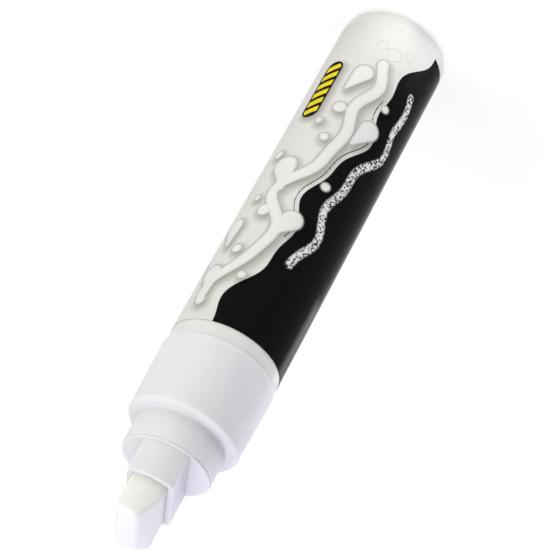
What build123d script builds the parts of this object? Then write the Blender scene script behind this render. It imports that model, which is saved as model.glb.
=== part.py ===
"""Liquid chalk marker with a wide chisel nib on a sprung ink valve, in millimetres.

The marker stands on its base with the nib up. The origin is the centre of the base, +Z runs along the barrel
to the nib, and +X lies along the wide side of the nib.
"""

import os
from math import cos, isclose, pi, sin, sqrt

from build123d import *

os.makedirs("parts", exist_ok=True)

# Barrel: a closed bottle with a rounded base, bare at both ends of the film
barrel_radius = 11.88
barrel_wall = 1.3
base_thickness = 1.8
base_round = 2.4
base_dish_radius = 8.0
base_dish_depth = 0.6
base_margin = 4.4
floor_round = 1.1
mouth_margin = 3.3

# Printed film round the barrel
film_length = 85.1
film_thickness = 0.12
film_clearance = 0.02

# Nose: tapered collar, round step and flat-sided mouth, with a plug that snaps into the barrel
collar_length = 16.5
collar_overhang = 0.34
collar_taper = 0.4
collar_front_round = 1.0
collar_rear_round = 0.9
ledge_width = 2.3
step_length = 7.4
step_root_round = 0.7
step_wall = 1.2
lip_width = 0.75
lip_height = 0.2
lip_round = 0.3
mouth_inset = 0.55
mouth_across_flats = 9.6
mouth_length = 7.4
mouth_wall = 1.1
mouth_corner_round = 0.4
mouth_rim_round = 0.3
plug_length = 8.0
plug_wall = 1.35
plug_clearance = 0.03
snap_drop = 4.0
snap_width = 1.4
snap_height = 0.25
snap_play = 0.05
shoulder_depth = 3.5

# Nib: a block of pressed fibre with a twisted chisel end, steep at its heel (+X) and almost flat at its toe.
# The ridge lies off the middle, towards -Y. Heights are counted from the mouth.
nib_clearance = 0.06
nib_rear_gap = 0.4
nib_ridge_offset = 1.4
nib_heel_back_height = 7.3
nib_heel_ridge_height = 8.6
nib_heel_front_height = 2.6
nib_toe_back_height = 8.6
nib_toe_ridge_height = 7.6
nib_toe_front_height = 7.05
nib_ridge_round = 1.4
nib_eave_round = 1.8
nib_end_round = 1.0
nib_travel = 1.5

# Valve behind the nib
recess_margin = 2.0
recess_clearance = 0.2
valve_clearance = 0.02
seat_thickness = 1.5
ink_gap = 0.7
stem_radius = 2.3
head_radius = 5.0
head_thickness = 1.4
head_gap = 1.5
tail_radius = 2.0
tail_clearance = 0.05
tail_reach = 0.5
gasket_inset = 0.2
gasket_thickness = 1.2
gasket_clearance = 0.02
seal_gap = 0.03
cage_wall = 1.2
window_count = 4
window_width = 4.0
window_height = 3.2
window_drop = 3.2
retainer_thickness = 1.5
retainer_ledge = 0.5
boss_wall = 0.7
boss_height = 2.0
port_count = 4
port_radius = 0.8

# Valve spring
spring_length = 6.4
spring_radius = 3.5
spring_turns = 4
wire_diameter = 0.6
spring_end_gap = 0.02

# Agitator balls
ball_radius = 3.5
ball_wall_gap = 0.5
ball_rest_gap = 0.05

# Heights along the marker
film_bottom = base_margin
film_top = film_bottom + film_length
barrel_top = film_top + mouth_margin
collar_top = barrel_top + collar_length
step_top = collar_top + step_length
mouth_top = step_top + mouth_length
plug_bottom = barrel_top - plug_length
snap_level = barrel_top - snap_drop
shoulder = collar_top - shoulder_depth
nib_bottom = shoulder + nib_rear_gap
seat_top = shoulder - nib_travel - recess_margin
seat_bottom = seat_top - seat_thickness
head_top = seat_bottom - seal_gap - gasket_thickness
head_bottom = head_top - head_thickness
retainer_top = head_bottom - spring_length
valve_bottom = retainer_top - retainer_thickness

# Radii and widths that follow from each other
bore_radius = barrel_radius - barrel_wall
collar_rear_radius = barrel_radius + collar_overhang
collar_front_radius = collar_rear_radius - collar_taper
collar_rear_rise = sqrt(collar_overhang * (2 * collar_rear_round - collar_overhang))
step_radius = collar_front_radius - ledge_width
mouth_end_radius = step_radius - mouth_inset
channel_end_radius = mouth_end_radius - mouth_wall
channel_across_flats = mouth_across_flats - 2 * mouth_wall
nib_end_radius = channel_end_radius - nib_clearance
nib_thickness = channel_across_flats - 2 * nib_clearance
plug_radius = bore_radius - plug_clearance
valve_bore = plug_radius - plug_wall
flange_radius = valve_bore - valve_clearance
recess_radius = channel_end_radius + recess_clearance
cage_radius = head_radius + head_gap
retainer_radius = cage_radius + retainer_ledge
boss_radius = tail_radius + tail_clearance + boss_wall
port_circle = (spring_radius + wire_diameter / 2 + cage_radius) / 2
ball_offset = valve_bore - ball_wall_gap - ball_radius

# Edges within this distance of a height or radius lie at it
same_place = 0.0001


def ring_edges(part, height, radius):
    """Circular edges of a part at one height and radius."""
    circles = part.edges().filter_by(GeomType.CIRCLE)
    return circles.filter_by(
        lambda edge: isclose(edge.arc_center.Z, height, abs_tol=same_place)
        and isclose(edge.radius, radius, abs_tol=same_place)
    )


def double_d(end_radius, across_flats):
    """Round section with two flats along X, drawn in the sketch that is open."""
    Circle(end_radius)
    Rectangle(2 * end_radius, across_flats, mode=Mode.INTERSECT)


def snap_points(radius, play):
    """Profile of the bevelled snap rib on a wall, from its upper foot to its lower one."""
    foot = snap_width / 2 + play
    crown = snap_width / 4 + play
    return [
        (radius, snap_level + foot),
        (radius + snap_height, snap_level + crown),
        (radius + snap_height, snap_level - crown),
        (radius, snap_level - foot),
    ]


# Barrel
with BuildPart() as barrel:
    with BuildSketch(Plane.XZ):
        with BuildLine():
            TangentArc((0, base_dish_depth), (base_dish_radius, 0), tangent=(1, 0))
            Polyline(
                (base_dish_radius, 0),
                (barrel_radius, 0),
                (barrel_radius, barrel_top),
                (bore_radius, barrel_top),
                *snap_points(bore_radius, snap_play),
                (bore_radius, base_thickness),
                (0, base_thickness),
                (0, base_dish_depth),
            )
        make_face()
    revolve(axis=Axis.Z)
    fillet(ring_edges(barrel, 0, barrel_radius), base_round)
    fillet(ring_edges(barrel, base_thickness, bore_radius), floor_round)

barrel.part.label = "barrel"
export_step(barrel.part, "parts/barrel.step")

# Printed film
with BuildPart() as printed_sleeve:
    with BuildSketch(Plane.XY.offset(film_bottom)):
        Circle(barrel_radius + film_thickness)
        Circle(barrel_radius + film_clearance, mode=Mode.SUBTRACT)
    extrude(amount=film_length)

printed_sleeve.part.label = "printed_sleeve"
export_step(printed_sleeve.part, "parts/printed_sleeve.step")

# Nose housing
with BuildPart() as nose_housing:
    with BuildSketch(Plane.XZ):
        with BuildLine():
            Polyline(
                (0, shoulder),
                (0, step_top),
                (step_radius - lip_height, step_top),
                (step_radius - lip_height, step_top - lip_width),
                (step_radius, step_top - lip_width),
                (step_radius, collar_top),
                (collar_front_radius, collar_top),
                (collar_rear_radius, barrel_top + collar_rear_rise),
            )
            RadiusArc(
                (collar_rear_radius, barrel_top + collar_rear_rise),
                (barrel_radius, barrel_top),
                collar_rear_round,
            )
            Polyline(
                (barrel_radius, barrel_top),
                (plug_radius, barrel_top),
                *snap_points(plug_radius, 0),
                (plug_radius, plug_bottom),
                (valve_bore, plug_bottom),
                (valve_bore, shoulder),
                (0, shoulder),
            )
        make_face()
    revolve(axis=Axis.Z)
    fillet(ring_edges(nose_housing, collar_top, collar_front_radius), collar_front_round)
    fillet(ring_edges(nose_housing, collar_top, step_radius), step_root_round)
    fillet(ring_edges(nose_housing, step_top, step_radius - lip_height), lip_round)
    with BuildSketch(Plane.XY.offset(step_top)):
        double_d(mouth_end_radius, mouth_across_flats)
    extrude(amount=mouth_length)
    fillet(
        nose_housing.edges().filter_by(Axis.Z).filter_by_position(Axis.Z, step_top, mouth_top),
        mouth_corner_round,
    )
    fillet(nose_housing.faces().sort_by(Axis.Z)[-1].edges(), mouth_rim_round)
    # Channel for the nib, right through to the valve
    with BuildSketch(Plane.XY.offset(shoulder)):
        double_d(channel_end_radius, channel_across_flats)
    extrude(amount=mouth_top - shoulder, mode=Mode.SUBTRACT)
    # Hollows each side of the channel that keep the walls even
    with BuildSketch(Plane.XY.offset(shoulder)):
        Circle(step_radius - step_wall)
        Rectangle(2 * step_radius, mouth_across_flats, mode=Mode.SUBTRACT)
    extrude(amount=step_top - step_wall - shoulder, mode=Mode.SUBTRACT)

nose_housing.part.label = "nose_housing"
export_step(nose_housing.part, "parts/nose_housing.step")

# Nib
def nib_outline(back_height, ridge_height, front_height):
    """Outline of the nib across its thickness, from the heights of its two eaves and its ridge."""
    half = nib_thickness / 2
    return [
        (-half, nib_bottom),
        (half, nib_bottom),
        (half, mouth_top + back_height),
        (-nib_ridge_offset, mouth_top + ridge_height),
        (-half, mouth_top + front_height),
    ]


def lengthways_edges(part):
    """Edges above the mouth that run along the wide side of the nib, front eave first."""
    edges = part.edges().filter_by_position(Axis.X, -nib_end_radius / 2, nib_end_radius / 2)
    return edges.filter_by(lambda edge: edge.center().Z > mouth_top).sort_by(Axis.Y)


nib_toe = (-nib_end_radius, nib_toe_back_height, nib_toe_ridge_height, nib_toe_front_height)
nib_heel = (nib_end_radius, nib_heel_back_height, nib_heel_ridge_height, nib_heel_front_height)

with BuildPart() as nib:
    for reach, *heights in (nib_toe, nib_heel):
        with BuildSketch(Plane.YZ.offset(reach)):
            with BuildLine():
                Polyline(*nib_outline(*heights), close=True)
            make_face()
    loft(ruled=True)
    fillet(lengthways_edges(nib)[1], nib_ridge_round)
    front_eave, *_, back_eave = lengthways_edges(nib)
    fillet([front_eave, back_eave], nib_eave_round)
    with BuildSketch(Plane.XY.offset(nib_bottom)):
        double_d(nib_end_radius, nib_thickness)
    extrude(amount=mouth_top + max(*nib_toe[1:], *nib_heel[1:]) - nib_bottom, mode=Mode.INTERSECT)
    upright_edges = nib.edges().filter_by(lambda edge: abs(edge.center().X) > nib_end_radius / 2)
    fillet(upright_edges.filter_by(lambda edge: edge.center().Z > shoulder + nib_travel), nib_end_round)

nib.part.label = "nib"
export_step(nib.part, "parts/nib.step")

# Valve body: a flange with the seat, and a windowed cage under it
with BuildPart() as valve_body:
    with BuildSketch(Plane.XZ):
        with BuildLine():
            Polyline(
                (stem_radius + ink_gap, seat_top),
                (recess_radius, seat_top),
                (recess_radius, shoulder),
                (flange_radius, shoulder),
                (flange_radius, seat_bottom),
                (cage_radius + cage_wall, seat_bottom),
                (cage_radius + cage_wall, valve_bottom),
                (retainer_radius, valve_bottom),
                (retainer_radius, retainer_top),
                (cage_radius, retainer_top),
                (cage_radius, seat_bottom),
                (stem_radius + ink_gap, seat_bottom),
                close=True,
            )
        make_face()
    revolve(axis=Axis.Z)
    with BuildSketch(Plane.XY.offset(seat_bottom - window_drop - window_height)):
        with PolarLocations(cage_radius + cage_wall / 2, window_count):
            Rectangle(2 * cage_wall, window_width)
    extrude(amount=window_height, mode=Mode.SUBTRACT)

valve_body.part.label = "valve_body"
export_step(valve_body.part, "parts/valve_body.step")

# Spring retainer: a ported disc with a guide for the stem's tail
with BuildPart() as spring_retainer:
    with BuildSketch(Plane.XY.offset(valve_bottom)):
        Circle(retainer_radius - valve_clearance)
        with PolarLocations(port_circle, port_count):
            Circle(port_radius, mode=Mode.SUBTRACT)
    extrude(amount=retainer_thickness)
    with BuildSketch(Plane.XY.offset(retainer_top)):
        Circle(boss_radius)
    extrude(amount=boss_height)
    with BuildSketch(Plane.XY.offset(valve_bottom)):
        Circle(tail_radius + tail_clearance)
    extrude(amount=retainer_thickness + boss_height, mode=Mode.SUBTRACT)

spring_retainer.part.label = "spring_retainer"
export_step(spring_retainer.part, "parts/spring_retainer.step")

# Valve stem: a push rod against the nib, a sealing head and a guided tail
with BuildPart() as valve_stem:
    with BuildSketch(Plane.XZ):
        with BuildLine():
            Polyline(
                (0, valve_bottom - tail_reach),
                (tail_radius, valve_bottom - tail_reach),
                (tail_radius, head_bottom),
                (head_radius, head_bottom),
                (head_radius, head_top),
                (stem_radius, head_top),
                (stem_radius, nib_bottom),
                (0, nib_bottom),
                close=True,
            )
        make_face()
    revolve(axis=Axis.Z)

valve_stem.part.label = "valve_stem"
export_step(valve_stem.part, "parts/valve_stem.step")

# Rubber gasket on the head
with BuildPart() as valve_gasket:
    with BuildSketch(Plane.XY.offset(head_top)):
        Circle(head_radius - gasket_inset)
        Circle(stem_radius + gasket_clearance, mode=Mode.SUBTRACT)
    extrude(amount=gasket_thickness)

valve_gasket.part.label = "valve_gasket"
export_step(valve_gasket.part, "parts/valve_gasket.step")

# Valve spring: a helix drawn as two tangent arcs for each half turn
coil_bottom = retainer_top + spring_end_gap + wire_diameter / 2
coil_rise = spring_length - wire_diameter - 2 * spring_end_gap
climb = coil_rise / (2 * pi * spring_turns)


def coil_point(angle):
    """Point of the helix at an angle from its foot."""
    return Vector(spring_radius * cos(angle), spring_radius * sin(angle), coil_bottom + climb * angle)


def coil_direction(angle):
    """Unit tangent of the helix at an angle from its foot."""
    return Vector(-spring_radius * sin(angle), spring_radius * cos(angle), climb).normalized()


with BuildPart() as valve_spring:
    with BuildLine() as coil:
        for half_turn in range(2 * spring_turns):
            start = coil_point(half_turn * pi)
            end = coil_point((half_turn + 1) * pi)
            leaving = coil_direction(half_turn * pi)
            arriving = coil_direction((half_turn + 1) * pi)
            chord = end - start
            both = leaving + arriving
            spread = 4 - both.dot(both)
            along = chord.dot(both)
            reach = (sqrt(along**2 + spread * chord.dot(chord)) - along) / spread
            first_corner = start + leaving * reach
            second_corner = end - arriving * reach
            middle = (first_corner + second_corner) / 2
            TangentArc(start, middle, tangent=leaving)
            TangentArc(middle, end, tangent=second_corner - first_corner)
    with BuildSketch(Plane(origin=coil_point(0), z_dir=coil_direction(0))):
        Circle(wire_diameter / 2)
    sweep(path=coil.line)

valve_spring.part.label = "valve_spring"
export_step(valve_spring.part, "parts/valve_spring.step")

samples_per_turn = 40
samples = spring_turns * samples_per_turn
coil_wire = coil.wire()
coil_points = [coil_wire.position_at(step / samples) for step in range(samples + 1)]
turn_gap = min(
    (coil_points[later] - coil_points[earlier]).length - wire_diameter
    for earlier in range(samples + 1)
    for later in range(earlier + samples_per_turn // 2, samples + 1)
)
print(f"valve spring: least gap between turns {turn_gap:.2f} mm, wire length {coil_wire.length:.1f} mm")

# Agitator balls, loose on the barrel's floor
for number, side in ((1, 1), (2, -1)):
    ball_centre = (side * ball_offset, 0, base_thickness + ball_rest_gap + ball_radius)
    with BuildPart(Plane(origin=ball_centre)) as agitator_ball:
        Sphere(ball_radius)
    agitator_ball.part.label = f"agitator_ball_{number}"
    export_step(agitator_ball.part, f"parts/agitator_ball_{number}.step")
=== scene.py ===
"""Looks of a liquid chalk marker: its printed film, the finish of every piece, and a plain studio round it.

The marker stands on its base with the nib up. Sizes in the classes are millimetres; meshes, lamps and the
camera are in metres.
"""

import logging
from dataclasses import dataclass, field
from enum import Enum

import bpy
import numpy as np
from mathutils import Matrix, Vector


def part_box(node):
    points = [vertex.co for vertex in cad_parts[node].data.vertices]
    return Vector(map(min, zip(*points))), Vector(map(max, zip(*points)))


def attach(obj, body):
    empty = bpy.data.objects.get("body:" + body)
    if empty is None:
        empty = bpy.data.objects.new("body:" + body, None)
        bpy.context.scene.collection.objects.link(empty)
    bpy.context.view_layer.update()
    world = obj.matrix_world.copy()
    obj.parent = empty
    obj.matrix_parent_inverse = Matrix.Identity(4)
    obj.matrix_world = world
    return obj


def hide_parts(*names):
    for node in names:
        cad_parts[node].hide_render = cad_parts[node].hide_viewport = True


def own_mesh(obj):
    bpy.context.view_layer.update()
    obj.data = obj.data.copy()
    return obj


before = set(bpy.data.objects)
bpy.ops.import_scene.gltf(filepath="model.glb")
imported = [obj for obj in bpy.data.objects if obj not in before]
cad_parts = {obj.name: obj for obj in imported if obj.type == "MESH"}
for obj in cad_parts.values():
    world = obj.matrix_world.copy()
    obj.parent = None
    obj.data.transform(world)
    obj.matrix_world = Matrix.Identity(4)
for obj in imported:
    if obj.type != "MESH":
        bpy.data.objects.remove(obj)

LOG = logging.getLogger("chalk_marker")
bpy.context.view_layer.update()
MM = 0.001
FAR_MM = 100.0


class Body(Enum):
    """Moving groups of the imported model."""

    MARKER = "marker_body"


class Slot(Enum):
    """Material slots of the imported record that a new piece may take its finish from."""

    FILM = "printed_film"
    SPRING = "spring_steel"


class Blend(Enum):
    """Ways in which a printed layer covers what lies under it."""

    COVER = "MIX"
    DARKEN = "MULTIPLY"


def linear(hex_colour: str) -> tuple[float, float, float, float]:
    """Turns an sRGB hex colour to linear light.

    Args:
        hex_colour: six hex digits after a hash sign.

    Returns:
        Red, green, blue and an alpha of one.
    """
    channels = [int(hex_colour[start:start + 2], 16) / 255 for start in (1, 3, 5)]
    lit = [c / 12.92 if c <= 0.04045 else ((c + 0.055) / 1.055) ** 2.4 for c in channels]
    return (lit[0], lit[1], lit[2], 1.0)


def per_metre(cell_mm: float) -> float:
    """Pattern scale on Object coordinates at which one cell measures cell_mm."""
    return 1 / (cell_mm * MM)


def add_node(tree: bpy.types.NodeTree, kind: str, inputs: dict | None = None, **settings) -> bpy.types.Node:
    """Adds one node with its settings, values and links.

    Args:
        tree: node tree that takes the node.
        kind: Blender's name of the node's type.
        inputs: for each input socket, by name or number, a value or an output socket to link.
        settings: the node's own attributes.

    Returns:
        The new node.
    """
    node = tree.nodes.new(kind)
    for name, value in settings.items():
        setattr(node, name, value)
    for key, value in (inputs or {}).items():
        if isinstance(value, bpy.types.NodeSocket):
            tree.links.new(value, node.inputs[key])
        else:
            node.inputs[key].default_value = value
    return node


def surface_material(name: str) -> tuple[bpy.types.Material, bpy.types.NodeTree, bpy.types.Node]:
    """Makes an empty surface material.

    Args:
        name: the real material's name.

    Returns:
        The material, its node tree and its Principled shader, which is linked to the output.
    """
    material = bpy.data.materials.new(name)
    material.use_nodes = True
    tree = material.node_tree
    tree.nodes.clear()
    shader = add_node(tree, "ShaderNodeBsdfPrincipled")
    add_node(tree, "ShaderNodeOutputMaterial", {"Surface": shader.outputs["BSDF"]})
    return material, tree, shader


def dress(obj: bpy.types.Object, material: bpy.types.Material) -> None:
    """Gives an object one material in place of those it has."""
    obj.data.materials.clear()
    obj.data.materials.append(material)


def path_distance(around: np.ndarray, along: np.ndarray, path: np.ndarray) -> np.ndarray:
    """Least distance from each point to an open polyline: to the nearest point of any segment.

    Args:
        around: first coordinates of the points.
        along: second coordinates of the points.
        path: the polyline's corners, one a row.

    Returns:
        The distances.
    """
    nearest = np.full(around.shape, FAR_MM)
    for start, end in zip(path[:-1], path[1:]):
        run = end - start
        share = ((around - start[0]) * run[0] + (along - start[1]) * run[1]) / (run @ run)
        share = np.clip(share, 0.0, 1.0)
        gap = np.hypot(around - start[0] - share * run[0], along - start[1] - share * run[1])
        np.minimum(nearest, gap, out=nearest)
    return nearest


def grid_object(name: str, points: np.ndarray, ring: bool = True) -> bpy.types.Object:
    """Makes a closed mesh object from a grid of points whose columns close on themselves.

    Args:
        name: the object's name.
        points: rows by columns by three coordinates in metres.
        ring: whether the last row joins the first; otherwise a flat cap closes each end.

    Returns:
        The object, linked to the scene.
    """
    rows, columns, _ = points.shape
    index = np.arange(rows * columns).reshape(rows, columns)
    right = np.roll(index, -1, axis=1)
    above = np.roll(index, -1, axis=0)
    across = np.roll(right, -1, axis=0)
    sides = np.stack((index, right, across, above), axis=-1)[: rows if ring else rows - 1].reshape(-1, 4)
    caps = np.empty(0, dtype=int) if ring else np.concatenate((index[0][::-1], index[-1]))
    corners = np.concatenate((sides.reshape(-1), caps))
    starts = np.concatenate((np.arange(0, sides.size, 4), np.arange(sides.size, corners.size, columns)))
    mesh = bpy.data.meshes.new(name)
    mesh.vertices.add(rows * columns)
    mesh.vertices.foreach_set("co", points.reshape(-1).astype(np.float32))
    mesh.loops.add(corners.size)
    mesh.loops.foreach_set("vertex_index", corners.astype(np.int32))
    mesh.polygons.add(starts.size)
    mesh.polygons.foreach_set("loop_start", starts.astype(np.int32))
    mesh.polygons.foreach_set("use_smooth", np.arange(starts.size) < len(sides))
    mesh.update(calc_edges=True)
    mesh.validate()
    obj = bpy.data.objects.new(name, mesh)
    bpy.context.scene.collection.objects.link(obj)
    return obj


@dataclass(frozen=True)
class MouldedPlastic:
    """Moulded plastic: an even pale body that glows a little, a fine moulded grain and faint flow clouds."""

    name: str
    colour: str
    cloud_colour: str
    roughness: float
    roughness_spread: float = 0.06
    specular: float = 0.5
    glow: float = 0.5
    glow_depth_mm: float = 1.0
    glow_reach: tuple[float, float, float] = (1.0, 0.9, 0.8)
    grain_mm: float = 0.35
    grain_height_mm: float = 0.004
    cloud_mm: float = 9.0

    def material(self) -> bpy.types.Material:
        """Makes the finish: clouds tint the colour, and grain sets roughness and bump.

        Returns:
            The material.
        """
        material, tree, shader = surface_material(self.name)
        place = add_node(tree, "ShaderNodeTexCoord").outputs["Object"]
        clouds = add_node(
            tree, "ShaderNodeTexNoise", {"Vector": place, "Scale": per_metre(self.cloud_mm), "Detail": 3.0}
        )
        grain = add_node(
            tree, "ShaderNodeTexNoise", {"Vector": place, "Scale": per_metre(self.grain_mm), "Detail": 2.0}
        )
        colour = add_node(
            tree,
            "ShaderNodeMix",
            {"Factor": clouds.outputs["Fac"], "A": linear(self.colour), "B": linear(self.cloud_colour)},
            data_type="RGBA",
        )
        roughness = add_node(
            tree,
            "ShaderNodeMapRange",
            {
                "Value": grain.outputs["Fac"],
                "To Min": self.roughness - self.roughness_spread,
                "To Max": self.roughness + self.roughness_spread,
            },
        )
        bump = add_node(
            tree,
            "ShaderNodeBump",
            {"Height": grain.outputs["Fac"], "Distance": self.grain_height_mm * MM, "Strength": 1.0},
        )
        tree.links.new(colour.outputs["Result"], shader.inputs["Base Color"])
        tree.links.new(roughness.outputs["Result"], shader.inputs["Roughness"])
        tree.links.new(bump.outputs["Normal"], shader.inputs["Normal"])
        shader.inputs["Specular IOR Level"].default_value = self.specular
        shader.inputs["Subsurface Weight"].default_value = self.glow
        shader.inputs["Subsurface Radius"].default_value = self.glow_reach
        shader.inputs["Subsurface Scale"].default_value = self.glow_depth_mm * MM
        return material


@dataclass(frozen=True)
class PressedFibre:
    """Pressed polyester fibre: matt and softly furry, with fibres that run lengthways.

    It is creamy, and faces that point up are painted whiter, a painted light from above with a ragged edge
    from noise.
    """

    name: str
    wall_colour: str
    # Whiter colour painted on faces that point up: painted light from above.
    painted_top_colour: str
    wall_rise: float = 0.15
    face_rise: float = 0.8
    fibre_mm: float = 0.22
    fibre_stretch: float = 7.0
    fibre_height_mm: float = 0.05
    fibre_shade: tuple[float, float] = (0.93, 1.05)
    pit_mm: float = 1.1
    pit_height_mm: float = 0.06
    roughness: float = 0.88
    specular: float = 0.2
    sheen: float = 0.25
    sheen_roughness: float = 0.5
    glow: float = 0.6
    glow_depth_mm: float = 1.0
    glow_reach: tuple[float, float, float] = (1.0, 1.0, 1.0)

    def material(self) -> bpy.types.Material:
        """Makes the finish: stretched noise gives fibres, plain noise pits, and faces that point up get
        painted light.

        Returns:
            The material.
        """
        material, tree, shader = surface_material(self.name)
        coordinates = add_node(tree, "ShaderNodeTexCoord")
        place = coordinates.outputs["Object"]
        lengthways = add_node(
            tree, "ShaderNodeMapping", {"Vector": place, "Scale": (1.0, 1.0, 1 / self.fibre_stretch)}
        )
        fibres = add_node(
            tree,
            "ShaderNodeTexNoise",
            {"Vector": lengthways.outputs["Vector"], "Scale": per_metre(self.fibre_mm), "Detail": 4.0},
        )
        pits = add_node(
            tree, "ShaderNodeTexNoise", {"Vector": place, "Scale": per_metre(self.pit_mm), "Detail": 4.0}
        )
        facing = add_node(tree, "ShaderNodeSeparateXYZ", {"Vector": coordinates.outputs["Normal"]})
        ragged = add_node(
            tree,
            "ShaderNodeMath",
            {0: pits.outputs["Fac"], 1: self.wall_rise, 2: facing.outputs["Z"]},
            operation="MULTIPLY_ADD",
        )
        # Painted light: by the object-space normal, faces that point up are mixed towards the whiter colour.
        painted_top_light = add_node(
            tree,
            "ShaderNodeMapRange",
            {"Value": ragged.outputs["Value"], "From Min": self.wall_rise, "From Max": self.face_rise},
            interpolation_type="SMOOTHSTEP",
        )
        colour = add_node(
            tree,
            "ShaderNodeMix",
            {"Factor": painted_top_light.outputs["Result"], "A": linear(self.wall_colour), "B": linear(self.painted_top_colour)},
            data_type="RGBA",
        )
        dark, light = self.fibre_shade
        shade = add_node(
            tree, "ShaderNodeMapRange", {"Value": fibres.outputs["Fac"], "To Min": dark, "To Max": light}
        )
        shaded = add_node(
            tree,
            "ShaderNodeMix",
            {"Factor": 1.0, "A": colour.outputs["Result"], "B": shade.outputs["Result"]},
            data_type="RGBA",
            blend_type="MULTIPLY",
        )
        fibre_bump = add_node(
            tree,
            "ShaderNodeBump",
            {"Height": fibres.outputs["Fac"], "Distance": self.fibre_height_mm * MM, "Strength": 1.0},
        )
        bump = add_node(
            tree,
            "ShaderNodeBump",
            {
                "Height": pits.outputs["Fac"],
                "Distance": self.pit_height_mm * MM,
                "Strength": 1.0,
                "Normal": fibre_bump.outputs["Normal"],
            },
        )
        tree.links.new(shaded.outputs["Result"], shader.inputs["Base Color"])
        tree.links.new(bump.outputs["Normal"], shader.inputs["Normal"])
        shader.inputs["Roughness"].default_value = self.roughness
        shader.inputs["Specular IOR Level"].default_value = self.specular
        shader.inputs["Subsurface Weight"].default_value = self.glow
        shader.inputs["Subsurface Radius"].default_value = self.glow_reach
        shader.inputs["Subsurface Scale"].default_value = self.glow_depth_mm * MM
        shader.inputs["Sheen Weight"].default_value = self.sheen
        shader.inputs["Sheen Roughness"].default_value = self.sheen_roughness
        return material


@dataclass(frozen=True)
class Steel:
    """Drawn or polished stainless steel: grey metal with fine lines or scratches in its gloss."""

    name: str
    colour: str
    roughness: float
    scratch_mm: float
    scratch_stretch: float
    scratch_height_mm: float = 0.002
    dullness: tuple[float, float] = (0.7, 1.4)

    def material(self) -> bpy.types.Material:
        """Makes the finish: stretched noise varies gloss and bump.

        Returns:
            The material.
        """
        material, tree, shader = surface_material(self.name)
        place = add_node(tree, "ShaderNodeTexCoord").outputs["Object"]
        along = add_node(
            tree, "ShaderNodeMapping", {"Vector": place, "Scale": (1.0, 1.0, 1 / self.scratch_stretch)}
        )
        scratches = add_node(
            tree,
            "ShaderNodeTexNoise",
            {"Vector": along.outputs["Vector"], "Scale": per_metre(self.scratch_mm), "Detail": 3.0},
        )
        bright, dull = self.dullness
        roughness = add_node(
            tree,
            "ShaderNodeMapRange",
            {
                "Value": scratches.outputs["Fac"],
                "To Min": self.roughness * bright,
                "To Max": self.roughness * dull,
            },
        )
        bump = add_node(
            tree,
            "ShaderNodeBump",
            {"Height": scratches.outputs["Fac"], "Distance": self.scratch_height_mm * MM, "Strength": 1.0},
        )
        tree.links.new(roughness.outputs["Result"], shader.inputs["Roughness"])
        tree.links.new(bump.outputs["Normal"], shader.inputs["Normal"])
        shader.inputs["Base Color"].default_value = linear(self.colour)
        shader.inputs["Metallic"].default_value = 1.0
        return material


@dataclass(frozen=True)
class Rubber:
    """Moulded nitrile rubber: dull black with a bloom of paler dust and a fine pebble."""

    name: str
    colour: str
    bloom_colour: str
    roughness: float
    pebble_mm: float = 0.25
    pebble_height_mm: float = 0.01

    def material(self) -> bpy.types.Material:
        """Makes the finish from one noise for bloom and pebble.

        Returns:
            The material.
        """
        material, tree, shader = surface_material(self.name)
        place = add_node(tree, "ShaderNodeTexCoord").outputs["Object"]
        pebble = add_node(
            tree, "ShaderNodeTexNoise", {"Vector": place, "Scale": per_metre(self.pebble_mm), "Detail": 4.0}
        )
        colour = add_node(
            tree,
            "ShaderNodeMix",
            {"Factor": pebble.outputs["Fac"], "A": linear(self.colour), "B": linear(self.bloom_colour)},
            data_type="RGBA",
        )
        bump = add_node(
            tree,
            "ShaderNodeBump",
            {"Height": pebble.outputs["Fac"], "Distance": self.pebble_height_mm * MM, "Strength": 1.0},
        )
        tree.links.new(colour.outputs["Result"], shader.inputs["Base Color"])
        tree.links.new(bump.outputs["Normal"], shader.inputs["Normal"])
        shader.inputs["Roughness"].default_value = self.roughness
        return material


@dataclass(frozen=True)
class PrintLayer:
    """One ink of the film: it lies where a distance field has a value from low to high, in millimetres."""

    attribute: str
    low: float
    high: float
    colour: str
    strength: float = 1.0
    soften: float = 0.05
    grainy: bool = False
    blend: Blend = Blend.COVER


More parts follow.
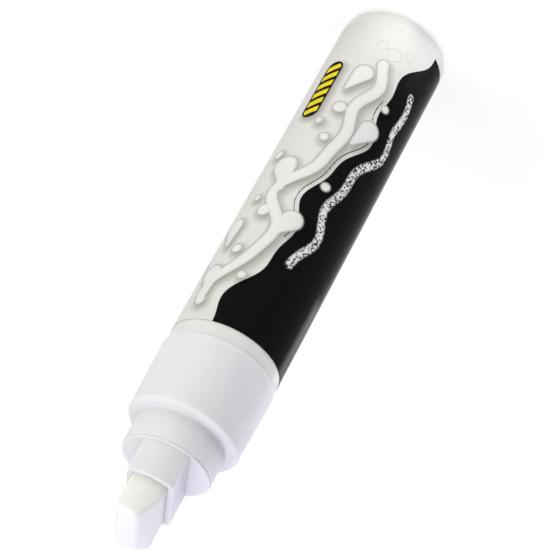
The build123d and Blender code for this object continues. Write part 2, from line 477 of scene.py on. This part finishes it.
@dataclass(frozen=True)
class PrintedFilmFinish:
    """Printed polypropylene film: warm white, solid black and small spot colours under a satin lacquer."""

    name: str
    white: str
    mottle: str
    layers: tuple[PrintLayer, ...]
    mottle_mm: float = 7.0
    chalk_grain_mm: float = 0.5
    chalk_gaps: tuple[float, float] = (0.42, 0.52)
    wave_mm: float = 5.0
    wave_height_mm: float = 0.01
    roughness: float = 0.1
    roughness_spread: float = 0.03
    specular: float = 0.025

    def material(self) -> bpy.types.Material:
        """Lays the inks over each other, each masked by its distance field.

        Returns:
            The material.
        """
        material, tree, shader = surface_material(self.name)
        place = add_node(tree, "ShaderNodeTexCoord").outputs["Object"]
        mottle = add_node(
            tree, "ShaderNodeTexNoise", {"Vector": place, "Scale": per_metre(self.mottle_mm), "Detail": 3.0}
        )
        grain = add_node(
            tree,
            "ShaderNodeTexNoise",
            {"Vector": place, "Scale": per_metre(self.chalk_grain_mm), "Detail": 5.0},
        )
        bare, solid = self.chalk_gaps
        crumbs = add_node(
            tree, "ShaderNodeMapRange", {"Value": grain.outputs["Fac"], "From Min": bare, "From Max": solid}
        )
        ink = add_node(
            tree,
            "ShaderNodeMix",
            {"Factor": mottle.outputs["Fac"], "A": linear(self.white), "B": linear(self.mottle)},
            data_type="RGBA",
        )
        fields = {
            name: add_node(tree, "ShaderNodeAttribute", attribute_name=name)
            for name in sorted({layer.attribute for layer in self.layers})
        }
        for layer in self.layers:
            half = (layer.high - layer.low) / 2
            offset = add_node(
                tree,
                "ShaderNodeMath",
                {0: fields[layer.attribute].outputs["Fac"], 1: layer.low + half},
                operation="SUBTRACT",
            )
            depth = add_node(tree, "ShaderNodeMath", {0: offset.outputs["Value"]}, operation="ABSOLUTE")
            mask = add_node(
                tree,
                "ShaderNodeMapRange",
                {
                    "Value": depth.outputs["Value"],
                    "From Min": half - layer.soften,
                    "From Max": half + layer.soften,
                    "To Min": layer.strength,
                    "To Max": 0.0,
                },
            ).outputs["Result"]
            if layer.grainy:
                mask = add_node(
                    tree, "ShaderNodeMath", {0: mask, 1: crumbs.outputs["Result"]}, operation="MULTIPLY"
                ).outputs["Value"]
            ink = add_node(
                tree,
                "ShaderNodeMix",
                {"Factor": mask, "A": ink.outputs["Result"], "B": linear(layer.colour)},
                data_type="RGBA",
                blend_type=layer.blend.value,
            )
        waves = add_node(
            tree, "ShaderNodeTexNoise", {"Vector": place, "Scale": per_metre(self.wave_mm), "Detail": 1.0}
        )
        bump = add_node(
            tree,
            "ShaderNodeBump",
            {"Height": waves.outputs["Fac"], "Distance": self.wave_height_mm * MM, "Strength": 1.0},
        )
        roughness = add_node(
            tree,
            "ShaderNodeMapRange",
            {
                "Value": mottle.outputs["Fac"],
                "To Min": self.roughness - self.roughness_spread,
                "To Max": self.roughness + self.roughness_spread,
            },
        )
        tree.links.new(ink.outputs["Result"], shader.inputs["Base Color"])
        tree.links.new(bump.outputs["Normal"], shader.inputs["Normal"])
        tree.links.new(roughness.outputs["Result"], shader.inputs["Roughness"])
        shader.inputs["Specular IOR Level"].default_value = self.specular
        return material


@dataclass(frozen=True)
class Drop:
    """Drop or stroke of the design: two discs and the straight sides that touch both. Lean is in degrees."""

    around: float
    along: float
    head: float
    tail: float
    length: float
    lean: float = 0.0

    def distance(self, around: np.ndarray, along: np.ndarray) -> np.ndarray:
        """Distance to the outline, below zero inside: to the head, the side or the tail, whichever faces.

        Args:
            around: distance round the film from its front, for every grid point.
            along: distance along the film from its rear edge.

        Returns:
            The distances in millimetres.
        """
        turn = np.radians(self.lean)
        side = np.abs((around - self.around) * np.cos(turn) - (along - self.along) * np.sin(turn))
        rise = (around - self.around) * np.sin(turn) + (along - self.along) * np.cos(turn)
        taper = (self.head - self.tail) / self.length
        slope = np.sqrt(1 - taper**2)
        facing = slope * rise - taper * side
        straight = slope * side + taper * rise - self.head
        by_head = np.hypot(side, rise) - self.head
        by_tail = np.hypot(side, rise - self.length) - self.tail
        return np.where(facing < 0, by_head, np.where(facing > slope * self.length, by_tail, straight))


@dataclass(frozen=True)
class Ring:
    """Ring of the design, drawn with a round stroke; without a radius it is a disc."""

    around: float
    along: float
    radius: float
    half_stroke: float

    def distance(self, around: np.ndarray, along: np.ndarray) -> np.ndarray:
        """Distance to the outline, below zero inside: how far a point is off the ring's radius."""
        return np.abs(np.hypot(around - self.around, along - self.along) - self.radius) - self.half_stroke


@dataclass(frozen=True)
class Ribbon:
    """Wavy stroke of the design: a sine wave along the film that follows the black field's edge."""

    rear: float
    nose: float
    swing: float
    pitch: float
    gap: float
    half_stroke: float
    samples: int = 200


@dataclass(frozen=True)
class Badge:
    """Long capsule of the design, filled with slanted bars."""

    around: float
    along: float
    half_length: float
    half_width: float
    bar_pitch: float
    bar_share: float
    bar_slope: float
    rim: float


@dataclass
class PrintedFilm:
    """Printed film round the barrel with a generic design: a wavy black field, puffy drops and ribbons.

    Places of the design are millimetres round the film from its front and along it from its rear edge.
    """

    front_azimuth: float = -10.5
    columns: int = 288
    rows: int = 326
    edge_inset: float = 0.01
    wall: float = 0.1
    field_rear: float = 8.0
    field_nose: float = -5.5
    field_wave: float = 1.7
    field_waves: float = 2.6
    field_phase: float = 0.3
    field_ripple: float = 0.7
    field_ripples: float = 6.3
    field_back: float = 28.0
    slope_step: float = 0.05
    stripe_gap: float = 0.95
    stripe_half: float = 0.12
    stripe_middle: float = 40.0
    stripe_reach: float = 21.0
    chalk: Ribbon = Ribbon(rear=13.0, nose=66.0, swing=0.9, pitch=31.0, gap=-4.6, half_stroke=0.85)
    seam_around: float = 35.0
    shadow_around: float = 0.75
    shadow_along: float = 0.85
    ribbon: Ribbon = Ribbon(rear=11.0, nose=80.0, swing=1.5, pitch=23.0, gap=4.8, half_stroke=1.3)
    puffy: tuple[Drop | Ring, ...] = (
        Drop(-3.4, 15.0, 2.2, 0.5, 5.4, lean=-20.0),
        Drop(-9.0, 43.5, 2.7, 0.5, 6.6, lean=18.0),
        Drop(3.6, 27.6, 2.3, 0.5, 5.6, lean=-22.0),
        Drop(-13.6, 60.0, 2.2, 0.5, 5.4, lean=8.0),
        Drop(-1.6, 56.6, 2.4, 0.5, 6.0, lean=-30.0),
        Drop(-12.4, 73.0, 2.4, 0.5, 5.8, lean=14.0),
        Ring(-4.4, 25.6, 0.0, 1.5),
        Ring(-7.2, 30.2, 0.0, 0.9),
        Ring(-4.2, 34.2, 0.0, 1.1),
        Ring(-12.6, 40.0, 0.0, 1.2),
        Ring(-8.2, 55.8, 0.0, 1.6),
        Ring(-11.6, 52.4, 0.0, 0.9),
        Ring(-9.4, 66.4, 0.0, 1.2),
        Ring(-5.2, 72.8, 0.0, 1.0),
        Ring(4.4, 20.6, 0.0, 0.9),
        Ring(1.2, 45.6, 0.0, 1.0),
        Drop(-24.0, 20.0, 2.4, 0.5, 6.0, lean=15.0),
        Drop(-29.0, 40.0, 2.6, 0.5, 6.6, lean=-12.0),
        Drop(-22.0, 56.0, 2.4, 0.5, 6.0, lean=10.0),
        Ring(-21.5, 34.0, 0.0, 1.5),
        Ring(-27.5, 30.0, 0.0, 0.9),
        Ring(-27.0, 66.0, 0.0, 1.3),
        Ring(-31.0, 57.0, 0.0, 1.0),
        Ring(-18.0, 70.0, 0.0, 1.1),
    )
    bubbles: tuple[Ring, ...] = (
        Ring(-2.6, 6.4, 1.25, 0.0),
        Ring(0.6, 7.4, 1.7, 0.0),
        Ring(3.6, 6.0, 0.9, 0.0),
    )
    badge: Badge = Badge(-10.6, 21.0, 8.4, 2.1, bar_pitch=2.6, bar_share=0.58, bar_slope=0.45, rim=0.45)

    def unrolled(self) -> tuple[np.ndarray, np.ndarray, np.ndarray, np.ndarray]:
        """Works out the film's grid: a closed wall profile carried round a full turn.

        Returns:
            For every profile point and column, the radius, the turn in radians, the distance round the film
            from its front and the distance along it from its rear edge, in millimetres.
        """
        low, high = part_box("printed_sleeve")
        radius = high.x / MM
        length = (high.z - low.z) / MM
        inner = radius - self.wall
        between = np.linspace(self.edge_inset, length - self.edge_inset, self.rows)
        outside = np.concatenate(([0.0], between, [length]))
        along = np.concatenate((outside, [length, length - self.edge_inset, self.edge_inset, 0.0]))
        radii = np.concatenate((np.full(outside.size, radius), np.full(4, inner)))
        turn = np.linspace(0.0, 2 * np.pi, self.columns, endpoint=False)
        offset = np.radians(self.front_azimuth) - turn
        around = radius * (np.mod(offset + np.pi, 2 * np.pi) - np.pi)
        shape = (along.size, turn.size)
        return (
            np.broadcast_to(radii[:, None], shape),
            np.broadcast_to(turn, shape),
            np.broadcast_to(around, shape),
            np.broadcast_to(along[:, None], shape),
        )

    def field_edge(self, along: np.ndarray) -> np.ndarray:
        """Place round the film of the black field's front edge: a straight slant plus two sine waves.

        Args:
            along: distance along the film from its rear edge.

        Returns:
            The distances round the film from its front, in millimetres.
        """
        low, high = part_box("printed_sleeve")
        share = along * MM / (high.z - low.z)
        slant = self.field_rear + (self.field_nose - self.field_rear) * share
        wave = self.field_wave * np.sin(2 * np.pi * (self.field_waves * share + self.field_phase))
        return slant + wave + self.field_ripple * np.sin(2 * np.pi * self.field_ripples * share)

    def ribbon_distance(self, ribbon: Ribbon, around: np.ndarray, along: np.ndarray) -> np.ndarray:
        """Distance to a ribbon, below zero inside: its middle is a sine wave beside the black field's edge.

        Args:
            ribbon: the ribbon.
            around: distance round the film from its front, for every grid point.
            along: distance along the film from its rear edge.

        Returns:
            The distances in millimetres.
        """
        stations = np.linspace(ribbon.rear, ribbon.nose, ribbon.samples)
        swing = ribbon.swing * np.sin(2 * np.pi * (stations - ribbon.rear) / ribbon.pitch)
        path = np.stack((self.field_edge(stations) - ribbon.gap + swing, stations), axis=1)
        return path_distance(around, along, path) - ribbon.half_stroke

    def build(self) -> bpy.types.Object:
        """Makes the film's mesh with the design's distance fields as attributes.

        Returns:
            The film.
        """
        radius, turn, around, along = self.unrolled()
        low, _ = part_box("printed_sleeve")
        points = np.stack((radius * np.cos(turn), radius * np.sin(turn), along + low.z / MM), axis=-1) * MM
        film = grid_object("film_print", points)
        for name, values in self.fields(around, along).items():
            layer = film.data.attributes.new(name, "FLOAT", "POINT")
            layer.data.foreach_set("value", values.astype(np.float32).ravel())
        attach(film, Body.MARKER.value)
        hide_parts("printed_sleeve")
        return film

    def fields(self, around: np.ndarray, along: np.ndarray) -> dict[str, np.ndarray]:
        """Distance fields of the design, in millimetres.

        Args:
            around: distance round the film from its front, for every grid point.
            along: distance along the film from its rear edge.

        Returns:
            The fields by name.
        """
        black = self.black_depth(around, along)
        stripe = np.abs(black + self.stripe_gap) - self.stripe_half
        stripe_end = np.abs(along - self.stripe_middle) - self.stripe_reach
        badge, bars = self.badge_distance(around, along)
        lit_from = (around - self.shadow_around, along - self.shadow_along)
        cast = np.minimum(self.puffy_distance(*lit_from), self.badge_distance(*lit_from)[0])
        bubbles = np.min([bubble.distance(around, along) for bubble in self.bubbles], axis=0)
        return {
            "black_field": black,
            "pinstripe": np.maximum(stripe, stripe_end),
            "chalk_stroke": self.ribbon_distance(self.chalk, around, along),
            "puffy_shapes": self.puffy_distance(around, along),
            "cast_shade": cast,
            "outline_bubbles": bubbles,
            "badge": badge,
            "badge_bars": bars,
            "lap_seam": around - self.seam_around,
        }

    def black_depth(self, around: np.ndarray, along: np.ndarray) -> np.ndarray:
        """Depth in the black field, above zero inside: the lesser distance from its front and back edges.

        Args:
            around: distance round the film from its front, for every grid point.
            along: distance along the film from its rear edge.

        Returns:
            The depths in millimetres.
        """
        step = self.slope_step
        slope = (self.field_edge(along + step) - self.field_edge(along - step)) / (2 * step)
        front = (around - self.field_edge(along)) / np.sqrt(1 + slope**2)
        return np.minimum(front, self.field_back - around)

    def puffy_distance(self, around: np.ndarray, along: np.ndarray) -> np.ndarray:
        """Distance to the puffy shapes, below zero inside: the least of the ribbon, drops and rings."""
        ribbon = self.ribbon_distance(self.ribbon, around, along)
        return np.min([ribbon, *(shape.distance(around, along) for shape in self.puffy)], axis=0)

    def badge_distance(self, around: np.ndarray, along: np.ndarray) -> tuple[np.ndarray, np.ndarray]:
        """Distances to the badge's capsule and to its slanted bars, which repeat along it inside its rim.

        Args:
            around: distance round the film from its front, for every grid point.
            along: distance along the film from its rear edge.

        Returns:
            The capsule's and the bars' distances.
        """
        badge = self.badge
        beyond = np.maximum(np.abs(along - badge.along) - badge.half_length + badge.half_width, 0.0)
        capsule = np.hypot(around - badge.around, beyond) - badge.half_width
        phase = (along - badge.along + badge.bar_slope * (around - badge.around)) / badge.bar_pitch
        bars = (np.abs(np.mod(phase, 1.0) - 0.5) - badge.bar_share / 2) * badge.bar_pitch
        return capsule, np.maximum(bars, capsule + badge.rim)

    def dress(self, film: bpy.types.Object) -> None:
        """Prints the design on the film."""
        dress(film, PRINTED_FILM.material())


def dress_nodes(nodes: tuple[str, ...], finish: MouldedPlastic | PressedFibre | Steel | Rubber) -> None:
    """Gives CAD nodes that keep their shape one finish.

    Args:
        nodes: the nodes' names.
        finish: their finish.
    """
    material = finish.material()
    for node in nodes:
        dress(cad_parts[node], material)
        LOG.info("%s: %s", node, finish.name)


# Real grain, fibres, scratches and pebble are too fine to show, so each is drawn coarser here.

# Warm white polypropylene film with solid inks; black stays deep and shines only at its limb.
PRINTED_FILM = PrintedFilmFinish(
    name="printed_polypropylene_film",
    white="#DCDCD8",
    mottle="#D8D8D3",
    layers=(
        PrintLayer("black_field", 0.0, FAR_MM, "#0F0F0F"),
        PrintLayer("pinstripe", -FAR_MM, 0.0, "#1A1A1A"),
        PrintLayer("chalk_stroke", -FAR_MM, 0.0, "#E6E6E2", soften=0.25, grainy=True),
        PrintLayer("outline_bubbles", -FAR_MM, 0.09, "#B4B4AF"),
        PrintLayer("cast_shade", -FAR_MM, 0.3, "#9C9C97", strength=0.8, soften=1.2, blend=Blend.DARKEN),
        PrintLayer("puffy_shapes", -FAR_MM, 0.0, "#E3E3DF"),
        PrintLayer("puffy_shapes", -0.35, 0.1, "#C4C4BF", strength=0.6, soften=0.3),
        PrintLayer("puffy_shapes", -0.05, 0.09, "#9C9C97"),
        PrintLayer("badge", -FAR_MM, 0.0, "#161616"),
        PrintLayer("badge_bars", -FAR_MM, 0.0, "#E9D31C"),
        PrintLayer("lap_seam", -0.1, 0.1, "#C2C2BD"),
    ),
)

# Blow-moulded white polypropylene: smooth, with a soft gloss and a warm tint.
BARREL_PLASTIC = MouldedPlastic("white_polypropylene_gloss", "#E3E3E0", "#DFDFDC", roughness=0.3)

# Injection-moulded white polypropylene with a satin moulded face and a cool tint.
NOSE_PLASTIC = MouldedPlastic("white_polypropylene_satin", "#E6E6E8", "#E2E2E5", roughness=0.42)

# Natural acetal: greyer and waxier than polypropylene.
VALVE_PLASTIC = MouldedPlastic("natural_acetal", "#DCDDDC", "#D6D7D6", roughness=0.38, cloud_mm=4.0)

# Pressed polyester fibre: matt, faintly furry and creamy, with painted light that makes faces that point up
# whiter.
NIB_FIBRE = PressedFibre("pressed_polyester_fibre", "#F3F3EE", "#FCFCFC")

# Nitrile rubber: dull black with a dusty bloom.
GASKET_RUBBER = Rubber("nitrile_rubber", "#161616", "#242422", roughness=0.7)

# Drawn stainless wire: mid grey metal with a fine, soft shine.
SPRING_STEEL = Steel("drawn_stainless_wire", "#9A9A9A", roughness=0.3, scratch_mm=0.1, scratch_stretch=1.0)

# Polished stainless balls: bright mirrors with a few faint scratches.
BALL_STEEL = Steel("polished_stainless_balls", "#B4B4B6", roughness=0.12, scratch_mm=0.4, scratch_stretch=3.0)


@dataclass(frozen=True)
class Softbox:
    """Square lamp that faces the marker, placed by its direction from the marker's middle."""

    name: str
    azimuth: float
    elevation: float
    power: float
    colour: str = "#FFFFFF"
    distance: float = 0.6
    size: float = 0.5
    target: tuple[float, float, float] = (0.0, 0.0, 0.067)

    def build(self) -> None:
        """Hangs the lamp at its distance from the target and turns it there."""
        turn, rise = np.radians(self.azimuth), np.radians(self.elevation)
        away = Vector((np.cos(turn) * np.cos(rise), np.sin(turn) * np.cos(rise), np.sin(rise)))
        lamp = bpy.data.lights.new(self.name, "AREA")
        lamp.shape = "SQUARE"
        lamp.size = self.size
        lamp.energy = self.power
        lamp.color = linear(self.colour)[:3]
        obj = bpy.data.objects.new(self.name, lamp)
        obj.location = Vector(self.target) + away * self.distance
        obj.rotation_euler = away.to_track_quat("Z", "Y").to_euler()
        bpy.context.scene.collection.objects.link(obj)


@dataclass(frozen=True)
class LevelLamp:
    """Small level lamp by the marker: face up it is a bright card, face down it lights the floor."""

    name: str
    azimuth: float
    power: float
    face_up: bool = True
    distance: float = 0.12
    height: float = 0.001
    size: float = 0.1
    spread: float = 180.0
    mirrored: bool = False

    def build(self) -> None:
        """Sets the lamp level at its place, out of the camera's sight."""
        turn = np.radians(self.azimuth)
        lamp = bpy.data.lights.new(self.name, "AREA")
        lamp.shape = "SQUARE"
        lamp.size = self.size
        lamp.energy = self.power
        lamp.spread = np.radians(self.spread)
        obj = bpy.data.objects.new(self.name, lamp)
        obj.location = (self.distance * np.cos(turn), self.distance * np.sin(turn), self.height)
        obj.rotation_euler = (np.pi if self.face_up else 0.0, 0.0, turn)
        obj.visible_camera = False
        obj.visible_glossy = self.mirrored
        bpy.context.scene.collection.objects.link(obj)


@dataclass
class Studio:
    """White floor and dome, soft lamps, and a camera at the photograph's view."""

    floor_half: float = 3.0
    floor_colour: str = "#F4F4F4"
    floor_lift: float = 0.73
    shadow_reach: tuple[float, float] = (0.12, 0.45)
    floor_shade: float = 0.34
    dome: float = 0.03
    dome_colour: str = "#FFFFFF"
    aim: tuple[float, float, float] = (-0.000389, -0.002098, 0.067211)
    camera_distance: float = 0.45652
    azimuth: float = 79.5
    elevation: float = 32.177
    roll: float = -151.334
    focal_pixels: float = 2250.7
    frame_pixels: float = 560.0
    sensor: float = 36.0
    clip_start: float = 0.01
    lamps: tuple[Softbox | LevelLamp, ...] = (
        Softbox("rim_light", azimuth=-140.0, elevation=20.0, power=1.64, colour="#DEE0FF"),
        Softbox("front_light", azimuth=-30.0, elevation=60.0, power=0.92),
        Softbox("key_light", azimuth=20.0, elevation=20.0, power=0.57),
        Softbox("side_light", azimuth=60.0, elevation=20.0, power=1.47, colour="#FFFAEE"),
        Softbox("left_light", azimuth=100.0, elevation=25.0, power=0.25),
        Softbox("nose_light", azimuth=0.0, elevation=88.0, power=2.2, colour="#F6F6FF"),
        LevelLamp("front_card", azimuth=-5.0, power=0.082),
        LevelLamp("back_card", azimuth=-108.0, power=0.105),
        LevelLamp("streak_card", azimuth=-138.0, power=0.02, distance=0.145, size=0.06, mirrored=True),
        LevelLamp(
            "base_lamp",
            azimuth=-5.0,
            power=0.0034,
            face_up=False,
            distance=0.026,
            height=0.014,
            size=0.008,
            spread=80.0,
        ),
        LevelLamp(
            "base_side",
            azimuth=-60.0,
            power=0.004,
            face_up=False,
            distance=0.026,
            height=0.014,
            size=0.008,
            spread=80.0,
        ),
    )

    def white_to_eye(self, tree: bpy.types.NodeTree) -> bpy.types.NodeSocket:
        """Adds nodes that give one to rays from the camera and those that gloss or glass sends on.

        Args:
            tree: node tree of the floor or the world.

        Returns:
            The socket with that number.
        """
        path = add_node(tree, "ShaderNodeLightPath")
        gloss = add_node(
            tree,
            "ShaderNodeMath",
            {0: path.outputs["Is Glossy Ray"], 1: path.outputs["Is Transmission Ray"]},
            operation="MAXIMUM",
        )
        seen = add_node(
            tree,
            "ShaderNodeMath",
            {0: path.outputs["Is Camera Ray"], 1: gloss.outputs["Value"]},
            operation="MAXIMUM",
        )
        return seen.outputs["Value"]

    def build_floor(self) -> None:
        """Lays the floor: white far off, and pale by the marker so that its soft shadow shows."""
        half = self.floor_half
        mesh = bpy.data.meshes.new("floor")
        corners = [(-half, -half, 0), (half, -half, 0), (half, half, 0), (-half, half, 0)]
        mesh.from_pydata(corners, [], [(0, 1, 2, 3)])
        floor = bpy.data.objects.new("floor", mesh)
        bpy.context.scene.collection.objects.link(floor)
        material = bpy.data.materials.new("painted_floor")
        material.use_nodes = True
        tree = material.node_tree
        tree.nodes.clear()
        plain = add_node(tree, "ShaderNodeBsdfDiffuse", {"Color": linear(self.floor_colour)})
        shade = add_node(tree, "ShaderNodeBsdfDiffuse", {"Color": (self.floor_shade,) * 3 + (1.0,)})
        place = add_node(tree, "ShaderNodeTexCoord").outputs["Object"]
        away = add_node(tree, "ShaderNodeVectorMath", {0: place}, operation="LENGTH")
        near, far = self.shadow_reach
        white = add_node(
            tree,
            "ShaderNodeMapRange",
            {"Value": away.outputs["Value"], "From Min": near, "From Max": far, "To Min": self.floor_lift},
        )
        lift = add_node(tree, "ShaderNodeEmission", {"Strength": white.outputs["Result"]})
        pale = add_node(tree, "ShaderNodeAddShader", {0: shade.outputs["BSDF"], 1: lift.outputs["Emission"]})
        mixed = add_node(
            tree,
            "ShaderNodeMixShader",
            {0: self.white_to_eye(tree), 1: plain.outputs["BSDF"], 2: pale.outputs["Shader"]},
        )
        add_node(tree, "ShaderNodeOutputMaterial", {"Surface": mixed.outputs["Shader"]})
        dress(floor, material)

    def build_world(self) -> None:
        """Lights the dome: even pale light on the marker, and plain white to the eye."""
        world = bpy.data.worlds.new("dome")
        world.use_nodes = True
        tree = world.node_tree
        tree.nodes.clear()
        strength = add_node(
            tree,
            "ShaderNodeMapRange",
            {"Value": self.white_to_eye(tree), "To Min": self.dome, "To Max": 1.0},
        )
        light = add_node(
            tree,
            "ShaderNodeBackground",
            {"Color": linear(self.dome_colour), "Strength": strength.outputs["Result"]},
        )
        add_node(tree, "ShaderNodeOutputWorld", {"Surface": light.outputs["Background"]})
        bpy.context.scene.world = world

    def build_camera(self) -> None:
        """Sets the camera at the photograph's view: aimed near the marker's middle, then rolled."""
        turn, rise, roll = (np.radians(angle) for angle in (self.azimuth, self.elevation, self.roll))
        back = Vector((np.sin(turn) * np.cos(rise), -np.cos(turn) * np.cos(rise), np.sin(rise)))
        level = Vector((np.cos(turn), np.sin(turn), 0.0))
        upright = back.cross(level)
        right = level * np.cos(roll) + upright * np.sin(roll)
        up = upright * np.cos(roll) - level * np.sin(roll)
        camera = bpy.data.cameras.new("camera")
        camera.sensor_width = self.sensor
        camera.lens = self.focal_pixels / self.frame_pixels * self.sensor
        camera.clip_start = self.clip_start
        obj = bpy.data.objects.new("camera", camera)
        place = Matrix((right, up, back)).transposed().to_4x4()
        place.translation = Vector(self.aim) + back * self.camera_distance
        obj.matrix_world = place
        bpy.context.scene.collection.objects.link(obj)
        bpy.context.scene.camera = obj

    def build(self) -> None:
        """Sets up floor, dome, lamps and camera."""
        self.build_floor()
        self.build_world()
        for lamp in self.lamps:
            lamp.build()
        self.build_camera()
        bpy.context.scene.view_settings.view_transform = "Standard"


@dataclass
class Barrel:
    """Bottle of the marker and the printed film round it."""

    bottle: str = "barrel"
    film: PrintedFilm = field(default_factory=PrintedFilm)

    def build(self) -> None:
        """Makes the film's mesh and finishes both pieces."""
        print_piece = self.film.build()
        self.film.dress(print_piece)
        LOG.info("%s: %d faces", print_piece.name, len(print_piece.data.polygons))
        dress_nodes((self.bottle,), BARREL_PLASTIC)


@dataclass
class Nose:
    """Nose housing and the nib that runs in its mouth."""

    housing: str = "nose_housing"
    nib: str = "nib"

    def build(self) -> None:
        """Finishes the satin housing and the fibre nib."""
        dress_nodes((self.housing,), NOSE_PLASTIC)
        dress_nodes((self.nib,), NIB_FIBRE)


@dataclass
class CoilSpring:
    """Wire spring that closes the valve: a helix whose foot is at the CAD spring's foot, made to that
    spring's length and width.
    """

    node: str = "valve_spring"
    joint: str = "nib_press"
    travel: float = 1.5
    wire: float = 0.6
    turns: int = 4
    steps: int = 48
    sides: int = 12

    def build(self) -> bpy.types.Object:
        """Makes the wire: circles w (n cos u + b sin u) of radius w along the helix (R cos t, R sin t, c t).

        The direction n points away from the axis, and b is square to n and to the helix's tangent.

        Returns:
            The spring.
        """
        low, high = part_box(self.node)
        length = (high.z - low.z) / MM
        radius = (high.x - low.x) / MM / 2 - self.wire / 2
        turn = np.linspace(0.0, 2 * np.pi * self.turns, self.turns * self.steps + 1)[:, None, None]
        climb = (length - self.wire) / (2 * np.pi * self.turns)
        flat = np.zeros_like(turn)
        out = np.concatenate((np.cos(turn), np.sin(turn), flat), axis=-1)
        tangent = np.concatenate((-radius * np.sin(turn), radius * np.cos(turn), flat + climb), axis=-1)
        side = np.cross(tangent / np.hypot(radius, climb), out)
        height = climb * turn + low.z / MM + self.wire / 2
        middle = radius * out + np.concatenate((flat, flat, height), axis=-1)
        around = np.linspace(0.0, 2 * np.pi, self.sides, endpoint=False)[None, :, None]
        points = middle + self.wire / 2 * (out * np.cos(around) + side * np.sin(around))
        spring = grid_object("valve_coil", points * MM, ring=False)
        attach(spring, Body.MARKER.value)
        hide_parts(self.node)
        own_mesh(spring)
        return spring

    def dress(self, spring: bpy.types.Object) -> None:
        """Gives the wire its drawn steel."""
        dress(spring, SPRING_STEEL.material())


@dataclass
class Valve:
    """Sprung ink valve behind the nib."""

    mouldings: tuple[str, ...] = ("valve_body", "spring_retainer", "valve_stem")
    gasket: str = "valve_gasket"
    spring: CoilSpring = field(default_factory=CoilSpring)

    def build(self) -> None:
        """Finishes the acetal mouldings and the rubber gasket, and makes the wire spring."""
        dress_nodes(self.mouldings, VALVE_PLASTIC)
        dress_nodes((self.gasket,), GASKET_RUBBER)
        coil = self.spring.build()
        self.spring.dress(coil)
        LOG.info("%s: %d faces", coil.name, len(coil.data.polygons))


@dataclass
class AgitatorBalls:
    """Loose balls that stir the liquid chalk when the marker is shaken."""

    balls: tuple[str, ...] = ("agitator_ball_1", "agitator_ball_2")

    def build(self) -> None:
        """Finishes the polished balls."""
        dress_nodes(self.balls, BALL_STEEL)


def main() -> None:
    """Builds the sub-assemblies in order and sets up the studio."""
    logging.basicConfig(level=logging.INFO, format="%(message)s")
    for assembly in (Barrel(), Nose(), Valve(), AgitatorBalls()):
        assembly.build()
    Studio().build()


if __name__ == "__main__":
    main()
